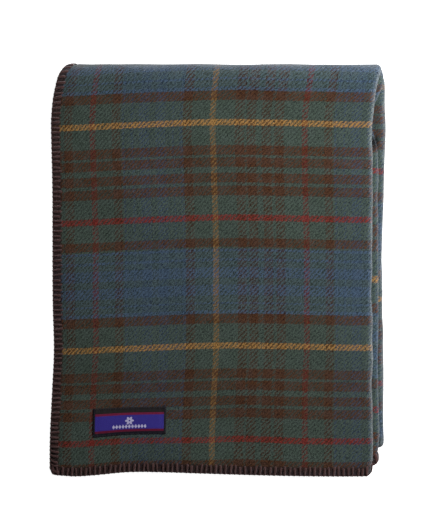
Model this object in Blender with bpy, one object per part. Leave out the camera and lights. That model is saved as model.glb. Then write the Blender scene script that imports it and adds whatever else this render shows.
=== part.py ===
"""Folded camp blanket: one woven cloth, its edge stitching and its sewn label.

The cloth is laid out flat first, as (u, v, w): u across the width, v along the
length, and w through the thickness. One rule then folds it. The width is
folded in half twice, which gives a strip of four layers. The strip is folded
in half, and then in half again at the top fold, which gives four strips and
sixteen layers. The upper two strips open like a book about the top fold, so
cloth and stitching are cut in line with that hinge.

Metres, +Z up. The blanket lies flat with its top fold towards +Y. The origin
is under the middle of its footprint.
"""

import math

import bmesh
import bpy
from mathutils import Matrix, Vector

CLOTH_WIDTH = 1.372
CLOTH_LENGTH = 1.676
CLOTH_THICKNESS = 0.0026
LAYER_PITCH = 0.0029
STRIP_PITCH = 4 * LAYER_PITCH

LEFT_FOLD_INSET = 0.00475
INNER_HEM_INSET = 0.003
FIRST_FOLD_SETBACK = 0.0312
INNER_END_SETBACK = 0.0145
BACK_SHIFT = 0.0124
INNER_SHIFT = 0.006
SHIFT_LEAD = 0.045

PIECE_GAP = 0.0003
STITCH_DEPTH = 0.009
STITCH_THICKNESS = 0.0004
HEM_THICKNESS = 0.0012
HEM_RAMP = 0.0013
NOSE_REACH = 0.0004

LABEL_WIDTH = 0.0772
LABEL_HEIGHT = 0.0307
LABEL_THICKNESS = 0.0006
LABEL_TILT = math.radians(1.2)
LABEL_FROM_LEFT = 0.0844
LABEL_FROM_HEM = 0.0567
THREAD_RADIUS = 0.00025

FOLD_STEPS = 6
ROLL_STEPS = 8
SHIFT_STEPS = 4

HALF_CLOTH = CLOTH_THICKNESS / 2
HALF_HEM = HEM_THICKNESS / 2
OUTER_RADIUS = 1.5 * STRIP_PITCH
INNER_RADIUS = 0.5 * STRIP_PITCH
TOP_LAYER = 1.5 * LAYER_PITCH
HINGE_Z = 2 * STRIP_PITCH - (LAYER_PITCH - CLOTH_THICKNESS) / 2

# The straight runs across the width, which the three side folds part.
SIDE_ARCS = math.pi * 2.5 * LAYER_PITCH
SIDE_RUN = (CLOTH_WIDTH - SIDE_ARCS + 2 * LEFT_FOLD_INSET + INNER_HEM_INSET) / 4
SIDE_REACH = TOP_LAYER + HALF_CLOTH

# The straight runs along the length, which the top fold and the first fold part.
END_ARCS = math.pi * (OUTER_RADIUS + 2 * INNER_RADIUS)
SETBACKS = 2 * (FIRST_FOLD_SETBACK + STRIP_PITCH) + INNER_END_SETBACK
FRONT_RUN = (CLOTH_LENGTH - END_ARCS + SETBACKS) / 4
BACK_RUN = FRONT_RUN - FIRST_FOLD_SETBACK - STRIP_PITCH
ROLL_REACH = OUTER_RADIUS + TOP_LAYER + HALF_CLOTH

OUTER_ROLL_START = FRONT_RUN
OUTER_ROLL_END = OUTER_ROLL_START + math.pi * OUTER_RADIUS
FIRST_FOLD_START = OUTER_ROLL_END + BACK_RUN
FIRST_FOLD_END = FIRST_FOLD_START + math.pi * INNER_RADIUS
INNER_ROLL_START = FIRST_FOLD_END + BACK_RUN
INNER_ROLL_END = INNER_ROLL_START + math.pi * INNER_RADIUS

STITCH_OUT = NOSE_REACH + STITCH_THICKNESS
LEFT_X = -(SIDE_RUN + SIDE_REACH + BACK_SHIFT - STITCH_OUT) / 2
HINGE_Y = (FRONT_RUN + STITCH_OUT - ROLL_REACH) / 2

# A path is its start (across, up, heading) and its legs. Each leg is a straight
# run, then a half turn to the left (+1) or to the right (-1) of some radius.
ACROSS_START = (0.0, TOP_LAYER, 0.0)
ACROSS_LEGS = (
    (SIDE_RUN, -1, TOP_LAYER),
    (SIDE_RUN - LEFT_FOLD_INSET, -1, LAYER_PITCH / 2),
    (SIDE_RUN - LEFT_FOLD_INSET, 1, LAYER_PITCH / 2),
)
ALONG_START = (-FRONT_RUN, OUTER_RADIUS, 0.0)
ALONG_LEGS = (
    (FRONT_RUN, -1, OUTER_RADIUS),
    (BACK_RUN, -1, INNER_RADIUS),
    (BACK_RUN, 1, INNER_RADIUS),
)


def walk(distance, start, legs):
    """Returns (across, up, heading) at a distance along a path."""
    across, up, heading = start
    for run, turn, radius in legs:
        straight = min(distance, run)
        across += straight * math.cos(heading)
        up += straight * math.sin(heading)
        swept = turn * min(max(distance - run, 0.0) / radius, math.pi)
        across += turn * radius * (math.sin(heading + swept) - math.sin(heading))
        up += turn * radius * (math.cos(heading) - math.cos(heading + swept))
        heading += swept
        distance -= run + math.pi * radius
        if distance <= 0:
            return across, up, heading
    across += distance * math.cos(heading)
    up += distance * math.sin(heading)
    return across, up, heading


def smooth_step(value, low, high):
    """Returns 0 below low, 1 above high, and a smooth rise between."""
    share = min(max((value - low) / (high - low), 0.0), 1.0)
    return share * share * (3 - 2 * share)


def sideways_shift(v):
    """Returns how far the strip has wandered to +X by the length v."""
    out = smooth_step(v, OUTER_ROLL_START - SHIFT_LEAD, OUTER_ROLL_END)
    back = smooth_step(v, INNER_ROLL_START, INNER_ROLL_END + SHIFT_LEAD)
    return BACK_SHIFT * out - (BACK_SHIFT - INNER_SHIFT) * back


def folded(u, v, w):
    """Returns where the flat cloth's point (u, v, w) lies on the folded blanket."""
    x, rise, turn = walk(u, ACROSS_START, ACROSS_LEGS)
    x -= w * math.sin(turn)
    rise += w * math.cos(turn)
    y, z, heading = walk(v, ALONG_START, ALONG_LEGS)
    y -= rise * math.sin(heading)
    z += rise * math.cos(heading)
    return Vector((LEFT_X + x + sideways_shift(v), HINGE_Y + y, HINGE_Z + z))


def evenly(low, high, steps):
    """Returns the places that split low to high into equal steps, ends included."""
    return [low + (high - low) * i / steps for i in range(steps + 1)]


def hem_lines(edge, inward):
    """Returns the lines of the thin hem and of its ramp, from the edge inward."""
    thin = STITCH_DEPTH + PIECE_GAP
    return [edge, edge + inward * thin, edge + inward * (thin + HEM_RAMP)]


def arc_lines():
    """Returns the lines of the three side folds across the width."""
    lines = []
    start = 0.0
    for run, _, radius in ACROSS_LEGS:
        start += run
        lines += evenly(start, start + math.pi * radius, FOLD_STEPS)
        start += math.pi * radius
    return lines


def roll_lines(start, end):
    """Returns the lines of a stretch around the top fold, just clear of its neighbours."""
    inner = evenly(start, end, ROLL_STEPS)[1:-1]
    return [start + PIECE_GAP / 2, *inner, end - PIECE_GAP / 2]


FRONT_LINES = [
    *evenly(OUTER_ROLL_START - SHIFT_LEAD, OUTER_ROLL_START, SHIFT_STEPS)[:-1],
    OUTER_ROLL_START - PIECE_GAP / 2,
]
OUTER_ROLL_LINES = roll_lines(OUTER_ROLL_START, OUTER_ROLL_END)
BACK_LINES = [
    OUTER_ROLL_END + PIECE_GAP / 2,
    *evenly(FIRST_FOLD_START, FIRST_FOLD_END, ROLL_STEPS),
    INNER_ROLL_START - PIECE_GAP / 2,
]
INNER_ROLL_LINES = roll_lines(INNER_ROLL_START, INNER_ROLL_END)
SECOND_LINES = [
    INNER_ROLL_END + PIECE_GAP / 2,
    *evenly(INNER_ROLL_END, INNER_ROLL_END + SHIFT_LEAD, SHIFT_STEPS)[1:],
]
WIDTH_LINES = hem_lines(0.0, 1) + arc_lines() + hem_lines(CLOTH_WIDTH, -1)[::-1]


def new_material(name, colour, roughness):
    """Returns a Principled material of one colour and roughness."""
    material = bpy.data.materials.new(name)
    material.use_nodes = True
    shader = material.node_tree.nodes["Principled BSDF"]
    shader.inputs["Base Color"].default_value = (*colour, 1.0)
    shader.inputs["Roughness"].default_value = roughness
    shader.inputs["Metallic"].default_value = 0.0
    material.diffuse_color = (*colour, 1.0)
    return material


def new_empty(name, location, collection):
    """Returns an empty that a body's pieces hang from."""
    empty = bpy.data.objects.new(name, None)
    empty.location = location
    collection.objects.link(empty)
    return empty


def grid_with_lines(rows, columns):
    """Returns a flat bmesh grid with its lines at the given rows (y) and columns (x)."""
    grid = bmesh.new()
    column_steps = len(columns) - 1
    row_steps = len(rows) - 1
    bmesh.ops.create_grid(grid, x_segments=column_steps, y_segments=row_steps, size=1.0)
    for vertex in grid.verts:
        column = round((vertex.co.x + 1) / 2 * column_steps)
        row = round((vertex.co.y + 1) / 2 * row_steps)
        vertex.co = (columns[column], rows[row], 0.0)
    return grid


def fold_up(shape):
    """Turns a flat closed shape's faces outward, then folds it."""
    middle = sum((vertex.co for vertex in shape.verts), Vector()) / len(shape.verts)
    bmesh.ops.translate(shape, verts=shape.verts[:], vec=-middle)
    if shape.calc_volume(signed=True) < 0:
        bmesh.ops.reverse_faces(shape, faces=shape.faces[:])
    bmesh.ops.translate(shape, verts=shape.verts[:], vec=middle)
    for vertex in shape.verts:
        vertex.co = folded(*vertex.co)


def add_piece(name, shape, material, body):
    """Makes a smooth shaded object of a closed bmesh, hung from its body's empty."""
    bmesh.ops.translate(shape, verts=shape.verts[:], vec=-body.location)
    mesh = bpy.data.meshes.new(name)
    shape.to_mesh(mesh)
    shape.free()
    mesh.materials.append(material)
    mesh.shade_smooth()
    mesh.set_sharp_from_angle(angle=math.radians(40))
    piece = bpy.data.objects.new(name, mesh)
    piece.parent = body
    body.users_collection[0].objects.link(piece)
    return piece


def add_cloth(name, lines, material, body):
    """Makes a stretch of the cloth, the full width across, with thin hems."""
    slab = grid_with_lines(lines, WIDTH_LINES)
    bmesh.ops.solidify(slab, geom=slab.faces[:], thickness=CLOTH_THICKNESS)
    middle = sum(vertex.co.z for vertex in slab.verts) / len(slab.verts)
    thin = STITCH_DEPTH + PIECE_GAP + HEM_RAMP / 2
    for vertex in slab.verts:
        u, v, w = vertex.co
        in_hem = min(u, CLOTH_WIDTH - u, v, CLOTH_LENGTH - v) < thin
        half = HALF_HEM if in_hem else HALF_CLOTH
        vertex.co.z = math.copysign(half, w - middle)
    fold_up(slab)
    return add_piece(name, slab, material, body)


def add_stitching(name, lines, flat_place, material, body):
    """Makes a U of edge stitching that wraps the cloth's hem along the given lines.

    flat_place(inward, line) gives the flat cloth's (u, v) at a distance in from
    the edge and a place along it.
    """
    face = HALF_HEM + PIECE_GAP
    upper = [(STITCH_DEPTH, face), (0.0, face), (-NOSE_REACH, 0.5 * face)]
    section = upper + [(inward, -w) for inward, w in reversed(upper)]
    sleeve = grid_with_lines(lines, range(len(section)))
    for vertex in sleeve.verts:
        inward, w = section[round(vertex.co.x)]
        vertex.co = (inward, vertex.co.y, w)
    sleeve.normal_update()
    bmesh.ops.solidify(sleeve, geom=sleeve.faces[:], thickness=STITCH_THICKNESS)
    for vertex in sleeve.verts:
        inward, line, w = vertex.co
        vertex.co = (*flat_place(inward, line), w)
    fold_up(sleeve)
    return add_piece(name, sleeve, material, body)


def left_edge(inward, line):
    """Returns the flat place for the side edge at u = 0."""
    return inward, line


def right_edge(inward, line):
    """Returns the flat place for the side edge at the full width."""
    return CLOTH_WIDTH - inward, line


def outer_end(inward, line):
    """Returns the flat place for the end that lies on top."""
    return line, inward


def inner_end(inward, line):
    """Returns the flat place for the end that lies between the strips."""
    return line, CLOTH_LENGTH - inward


def label_matrix():
    """Returns the label's place on the top layer, turned by its slight tilt."""
    x = LEFT_X + LABEL_FROM_LEFT
    y = HINGE_Y - FRONT_RUN + LABEL_FROM_HEM
    z = HINGE_Z + OUTER_RADIUS + SIDE_REACH + PIECE_GAP + LABEL_THICKNESS / 2
    return Matrix.Translation((x, y, z)) @ Matrix.Rotation(LABEL_TILT, 4, "Z")


def add_label(material, body):
    """Makes the woven label as a thin block with softened edges."""
    block = bmesh.new()
    bmesh.ops.create_cube(block, size=1.0)
    bmesh.ops.scale(
        block, vec=(LABEL_WIDTH, LABEL_HEIGHT, LABEL_THICKNESS), verts=block.verts[:]
    )
    bmesh.ops.bevel(
        block,
        geom=block.edges[:],
        offset=LABEL_THICKNESS / 4,
        segments=1,
        affect="EDGES",
    )
    bmesh.ops.transform(block, matrix=label_matrix(), verts=block.verts[:])
    return add_piece("label", block, material, body)


def add_label_thread(material, body):
    """Makes the thread that runs round the label, as a closed wire on the cloth."""
    clear = PIECE_GAP + THREAD_RADIUS
    half_width = LABEL_WIDTH / 2 + clear
    half_height = LABEL_HEIGHT / 2 + clear
    corners = [(-1, -1), (1, -1), (1, 1), (-1, 1)]
    curve = bpy.data.curves.new("label_stitching", "CURVE")
    curve.dimensions = "3D"
    curve.bevel_depth = THREAD_RADIUS
    curve.bevel_resolution = 1
    spline = curve.splines.new("POLY")
    spline.points.add(len(corners) - 1)
    height = THREAD_RADIUS - LABEL_THICKNESS / 2
    for point, (side, end) in zip(spline.points, corners):
        point.co = (side * half_width, end * half_height, height, 1.0)
    spline.use_cyclic_u = True
    curve.materials.append(material)
    thread = bpy.data.objects.new("label_stitching", curve)
    thread.parent = body
    thread.matrix_local = Matrix.Translation(-body.location) @ label_matrix()
    body.users_collection[0].objects.link(thread)
    return thread


def side_lines(lines, from_end, from_start):
    """Returns the lines of a side edge, kept clear of an end's own stitching."""
    clear = STITCH_DEPTH + PIECE_GAP
    start = [clear] if from_start else []
    end = [CLOTH_LENGTH - clear] if from_end else []
    return [*start, *lines, *end]


def main():
    """Clears the scene and builds the blanket's two halves."""
    for old in list(bpy.data.objects):
        bpy.data.objects.remove(old, do_unlink=True)

    collection = bpy.data.collections.new("camp_blanket")
    bpy.context.scene.collection.children.link(collection)
    lower = new_empty("lower_half", Vector((0.0, 0.0, 0.0)), collection)
    upper = new_empty("upper_half_hinge", Vector((0.0, HINGE_Y, HINGE_Z)), collection)

    front_hem = hem_lines(0.0, 1)
    inner_hem = hem_lines(CLOTH_LENGTH, -1)[::-1]
    stretches = (
        ("front", FRONT_LINES, front_hem, [], upper),
        ("top_fold_outer", OUTER_ROLL_LINES, [], [], lower),
        ("back", BACK_LINES, [], [], lower),
        ("top_fold_inner", INNER_ROLL_LINES, [], [], lower),
        ("second", SECOND_LINES, [], inner_hem, upper),
    )
    wool = new_material("brushed_wool", (0.045, 0.072, 0.075), 0.95)
    yarn = new_material("edge_yarn", (0.045, 0.018, 0.020), 0.9)
    for stretch, lines, before, after, body in stretches:
        add_cloth(f"cloth_{stretch}", [*before, *lines, *after], wool, body)
        sides = (("left", left_edge), ("right", right_edge))
        for side, flat_place in sides:
            add_stitching(
                f"{side}_edge_stitching_{stretch}",
                side_lines(lines, bool(after), bool(before)),
                flat_place,
                yarn,
                body,
            )

    end_lines = [0.0, *arc_lines(), CLOTH_WIDTH]
    add_stitching("outer_end_stitching", end_lines, outer_end, yarn, upper)
    add_stitching("inner_end_stitching", end_lines, inner_end, yarn, upper)
    add_label(new_material("woven_label", (0.028, 0.022, 0.150), 0.6), upper)
    add_label_thread(new_material("label_thread", (0.018, 0.014, 0.016), 0.6), upper)


main()
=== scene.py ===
"""The looks of a folded camp blanket: brushed tartan wool, blanket stitch and a sewn woven label.

The cloth, its stitching and its label are all drawn on the flat cloth first, as (u, v, w):
u across the width, v along the length and w through the thickness. The fold plan then folds
them, and the settle gives the folded pile the sway, slumped corners and dents of soft wool.
"""

import logging
import math
from dataclasses import dataclass
from enum import Enum
from typing import Any

import bpy
import numpy as np
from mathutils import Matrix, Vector


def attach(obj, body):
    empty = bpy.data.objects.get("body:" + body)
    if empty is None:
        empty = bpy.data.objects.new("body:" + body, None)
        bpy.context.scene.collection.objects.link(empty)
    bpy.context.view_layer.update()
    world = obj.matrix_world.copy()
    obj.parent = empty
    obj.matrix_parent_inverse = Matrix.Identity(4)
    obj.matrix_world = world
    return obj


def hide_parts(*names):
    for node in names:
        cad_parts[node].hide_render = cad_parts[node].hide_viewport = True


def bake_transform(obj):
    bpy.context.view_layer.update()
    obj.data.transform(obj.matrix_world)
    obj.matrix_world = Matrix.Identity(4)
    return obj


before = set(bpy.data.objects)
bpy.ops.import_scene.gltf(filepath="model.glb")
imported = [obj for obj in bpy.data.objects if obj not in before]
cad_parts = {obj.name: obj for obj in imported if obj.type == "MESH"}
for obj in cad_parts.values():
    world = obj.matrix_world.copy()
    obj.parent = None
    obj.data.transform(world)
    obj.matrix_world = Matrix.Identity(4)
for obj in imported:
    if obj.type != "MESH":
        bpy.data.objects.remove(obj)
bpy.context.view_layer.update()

LOG = logging.getLogger("blanket")
CLOTH_MAP = "cloth"
# The hem map holds each point's distance from the hem, then its pale fuzz and painted sheen highlight, below
# 0 where shade is painted.
HEM_AND_PAINTED_LIGHT_MAP = "hem"
UPPER, LOWER = "upper_half", "lower_half"
GOLDEN_ANGLE = 2.399
TURN = 2 * math.pi

Colour = tuple[float, float, float, float]


def linear(red: float, green: float, blue: float) -> Colour:
    """Turn a colour, given 0 to 255 a channel, into the light that it reflects.

    Args:
        red: Red, 0 to 255.
        green: Green, 0 to 255.
        blue: Blue, 0 to 255.

    Returns:
        The linear colour, with an alpha of 1.
    """
    shares = (channel / 255 for channel in (red, green, blue))
    bright = [s / 12.92 if s <= 0.04045 else ((s + 0.055) / 1.055) ** 2.4 for s in shares]
    return (bright[0], bright[1], bright[2], 1.0)


def smooth_step(value: np.ndarray, low: float, high: float) -> np.ndarray:
    """Rise smoothly from 0 where a value is low to 1 where it is high."""
    share = np.clip((value - low) / (high - low), 0.0, 1.0)
    return share * share * (3 - 2 * share)


@dataclass(frozen=True)
class Bend:
    """A smooth line through a few knots, level beyond the first and the last."""

    knots: tuple[tuple[float, float], ...]

    def at(self, where: np.ndarray) -> np.ndarray:
        """Read the line.

        Args:
            where: Positions along it.

        Returns:
            Its height at each position.
        """
        places = np.array([knot[0] for knot in self.knots])
        heights = np.array([knot[1] for knot in self.knots])
        slopes = np.gradient(heights, places)
        slopes[0] = slopes[-1] = 0.0
        inside = np.clip(where, places[0], places[-1])
        first = np.clip(np.searchsorted(places, inside) - 1, 0, len(places) - 2)
        span = places[first + 1] - places[first]
        t = (inside - places[first]) / span
        rise = t * t * (3 - 2 * t)
        return (
            heights[first] * (1 - rise)
            + heights[first + 1] * rise
            + span * slopes[first] * t * (1 - t) ** 2
            - span * slopes[first + 1] * t * t * (1 - t)
        )


def ripple(x: np.ndarray, y: np.ndarray, size: float, turn: float) -> np.ndarray:
    """Give a smooth uneven field made of a few crossing waves.

    Args:
        x: First coordinate, in metres.
        y: Second coordinate, in metres.
        size: About how far apart its hills are, in metres.
        turn: Turns and shifts the waves, so that each use has its own field.

    Returns:
        The field, mostly within -1 and 1.
    """
    waves, shortest, longer, phase, phase_turn, height = 5, 0.75, 0.17, 1.7, 3.1, 3.0
    total = np.zeros_like(x)
    for k in range(waves):
        heading = turn + GOLDEN_ANGLE * k
        pace = TURN / (size * (shortest + longer * k))
        along = x * math.cos(heading) + y * math.sin(heading)
        total += np.sin(along * pace + phase * k + phase_turn * turn)
    return total / height


# ---------------------------------------------------------------------------
# Shader bench
# ---------------------------------------------------------------------------


class Wire:
    """One output socket. Arithmetic on it adds the Math nodes that it needs."""

    def __init__(self, bench: "Bench", socket: bpy.types.NodeSocket) -> None:
        """Keep the socket and the bench that it is on."""
        self.bench = bench
        self.socket = socket

    def __add__(self, other: "Wire | float") -> "Wire":
        """Add."""
        return self.bench.maths("ADD", self, other)

    def __sub__(self, other: "Wire | float") -> "Wire":
        """Subtract."""
        return self.bench.maths("SUBTRACT", self, other)

    def __rsub__(self, other: "Wire | float") -> "Wire":
        """Subtract this from a number."""
        return self.bench.maths("SUBTRACT", other, self)

    def __mul__(self, other: "Wire | float") -> "Wire":
        """Multiply."""
        return self.bench.maths("MULTIPLY", self, other)

    def __truediv__(self, other: "Wire | float") -> "Wire":
        """Divide."""
        return self.bench.maths("DIVIDE", self, other)

    def __lt__(self, other: "Wire | float") -> "Wire":
        """Give 1 where this is less, else 0."""
        return self.bench.maths("LESS_THAN", self, other)

    def __gt__(self, other: "Wire | float") -> "Wire":
        """Give 1 where this is greater, else 0."""
        return self.bench.maths("GREATER_THAN", self, other)

    def __abs__(self) -> "Wire":
        """Drop the sign."""
        return self.bench.maths("ABSOLUTE", self)

    __radd__ = __add__
    __rmul__ = __mul__

    def fract(self) -> "Wire":
        """Keep the part after the point."""
        return self.bench.maths("FRACT", self)

    def sine(self) -> "Wire":
        """Take the sine."""
        return self.bench.maths("SINE", self)

    def held(self) -> "Wire":
        """Hold the value within 0 and 1."""
        return self.bench.maths("ADD", self, 0.0, clamp=True)


class Bench:
    """Where the nodes of one material, or of the room's light, are put together."""

    def __init__(self, name: str, shelf: bpy.types.bpy_prop_collection | None = None) -> None:
        """Start an empty material, or an empty world.

        Args:
            name: Its name.
            shelf: Where it is kept: bpy.data.worlds for a world, or nothing for a material.
        """
        self.owner = (bpy.data.materials if shelf is None else shelf).new(name)
        self.owner.use_nodes = True
        self.tree = self.owner.node_tree
        self.tree.nodes.clear()

    def node(self, kind: str, settings: dict[str, Any], inputs: dict[str | int, Any]) -> bpy.types.Node:
        """Add a node.

        Args:
            kind: The node's type.
            settings: What is set on the node itself, before its sockets. A ramp takes its stops here.
            inputs: A value or a wire for each socket, by name or number.

        Returns:
            The node.
        """
        made = self.tree.nodes.new(kind)
        for name, value in settings.items():
            if name == "stops":
                self.set_stops(made.color_ramp, value)
            else:
                setattr(made, name, value)
        for key, value in inputs.items():
            if isinstance(value, Wire):
                self.tree.links.new(value.socket, made.inputs[key])
            else:
                made.inputs[key].default_value = value
        return made

    @staticmethod
    def set_stops(ramp: bpy.types.ColorRamp, stops: list[tuple[float, Colour]]) -> None:
        """Give a ramp hard-edged stops.

        Args:
            ramp: The ramp.
            stops: Where each colour starts, and the colour.
        """
        ramp.interpolation = "CONSTANT"
        while len(ramp.elements) < len(stops):
            ramp.elements.new(1.0)
        for element, (place, colour) in zip(ramp.elements, stops, strict=True):
            element.position = place
            element.color = colour

    def wire(self, node: bpy.types.Node, output: str | int = 0) -> Wire:
        """Take an output of a node."""
        return Wire(self, node.outputs[output])

    def maths(self, operation: str, *values: Wire | float, clamp: bool = False) -> Wire:
        """Work on values with one Math operation, and hold the result within 0 and 1 if clamp is set."""
        settings = {"operation": operation, "use_clamp": clamp}
        return self.wire(self.node("ShaderNodeMath", settings, dict(enumerate(values))))

    def mix(self, share: Wire | float, under: Any, over: Any, kind: str = "MIX") -> Wire:
        """Mix a share of one colour over another."""
        settings = {"data_type": "RGBA", "blend_type": kind, "clamp_factor": True}
        return self.wire(self.node("ShaderNodeMix", settings, {0: share, 6: under, 7: over}), 2)

    def cloth_place(self) -> Wire:
        """Read where on its flat cloth a point is, as a vector in metres."""
        return self.wire(self.node("ShaderNodeUVMap", {"uv_map": CLOTH_MAP}, {}))

    def split(self, vector: Wire) -> tuple[Wire, Wire, Wire]:
        """Take a vector apart."""
        parts = self.node("ShaderNodeSeparateXYZ", {}, {0: vector})
        return self.wire(parts, 0), self.wire(parts, 1), self.wire(parts, 2)

    def stretched(self, vector: Wire, scale: tuple[float, float, float], turn: float = 0.0) -> Wire:
        """Turn a flat vector about its third axis, then scale it.

        Args:
            vector: The vector.
            scale: What each part is multiplied by.
            turn: The angle, in radians.

        Returns:
            The new vector.
        """
        turned = vector
        if turn:
            about = {"rotation_type": "Z_AXIS"}
            turned = self.wire(self.node("ShaderNodeVectorRotate", about, {"Vector": vector, "Angle": turn}))
        return self.wire(self.node("ShaderNodeVectorMath", {"operation": "MULTIPLY"}, {0: turned, 1: scale}))

    def noise(self, place: Wire, detail: float, rough: float) -> bpy.types.Node:
        """Add a cloudy pattern whose clouds are about one unit across, with finer layers of detail."""
        inputs = {"Vector": place, "Scale": 1.0, "Detail": detail, "Roughness": rough}
        return self.node("ShaderNodeTexNoise", {"noise_dimensions": "2D"}, inputs)

    def shaded(self, colour: Wire, shade: Wire) -> Wire:
        """Darken a colour by a shade of 0 to 1."""
        grey = self.node("ShaderNodeCombineColor", {}, {0: shade, 1: shade, 2: shade})
        return self.mix(1.0, colour, self.wire(grey), "MULTIPLY")

    def finish(
        self, colour: Wire, rough: float, bump: Wire | None, depth: float, **steady: float | Colour
    ) -> bpy.types.Material:
        """Close the material with its surface shader.

        Args:
            colour: Base colour.
            rough: Roughness.
            bump: Height of the surface, 0 to 1.
            depth: What a height of 1 is, in metres.
            steady: Other sockets, by name with _ for a space, which are the same all over.

        Returns:
            The material.
        """
        inputs = {"Base Color": colour, "Roughness": rough}
        inputs |= {name.replace("_", " "): value for name, value in steady.items()}
        if bump is not None:
            relief = self.node("ShaderNodeBump", {}, {"Strength": 1.0, "Distance": depth, "Height": bump})
            inputs["Normal"] = self.wire(relief)
        surface = self.node("ShaderNodeBsdfPrincipled", {}, inputs)
        self.node("ShaderNodeOutputMaterial", {}, {"Surface": self.wire(surface)})
        return self.owner


# ---------------------------------------------------------------------------
# Finishes
# ---------------------------------------------------------------------------


class Yarn(Enum):
    """The dyed yarns of the cloth."""

    GREEN = linear(66, 79, 70)
    BLUE = linear(64, 83, 105)
    TEAL = linear(64, 81, 86)
    BROWN = linear(76, 45, 23)
    RED = linear(116, 36, 27)
    OCHRE = linear(155, 115, 61)


@dataclass(frozen=True)
class Sett:
    """The order of the yarns, the same in the warp and in the weft."""

    across: float = 0.2272
    along: float = 0.2417
    first_warp: float = 0.1476
    first_weft: float = 0.4114
    brown: float = 0.040
    ochre: tuple[float, float] = (0.1195, 0.027)
    bars: tuple[float, ...] = (0.246, 0.301, 0.370, 0.430)
    bar: float = 0.043
    red: tuple[float, float] = (0.551, 0.027)
    last_bar: tuple[float, float] = (0.663, 0.037)
    blue: tuple[float, float] = (0.688, 0.978)
    pins: tuple[float, ...] = (0.10, 0.24, 0.50, 0.77, 0.90)
    pin: float = 0.030
    thread: float = 0.001

    def stops(self) -> list[tuple[float, Colour]]:
        """List one repeat of the sett, from the middle of its first brown bar.

        Returns:
            Where each band starts, as a share of the repeat, and its yarn's colour.
        """
        bands = [(place, self.bar, Yarn.BROWN) for place in self.bars]
        bands += [(*self.ochre, Yarn.OCHRE), (*self.red, Yarn.RED), (*self.last_bar, Yarn.BROWN)]
        start, end = self.blue
        stops = [(0.0, Yarn.BROWN), (self.brown / 2, Yarn.GREEN), (end, Yarn.BROWN), (start, Yarn.BLUE)]
        for middle, wide, yarn in bands:
            after = Yarn.BLUE if middle + wide / 2 > start else Yarn.GREEN
            stops.append((middle - wide / 2, yarn))
            stops.append((min(middle + wide / 2, start - self.thread), after))
        for share in self.pins:
            middle = start + share * (end - start)
            stops.append((middle - self.pin / 2, Yarn.TEAL))
            stops.append((middle + self.pin / 2, Yarn.BLUE))
        return [(place, yarn.value) for place, yarn in sorted(stops, key=lambda stop: stop[0])]


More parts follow.
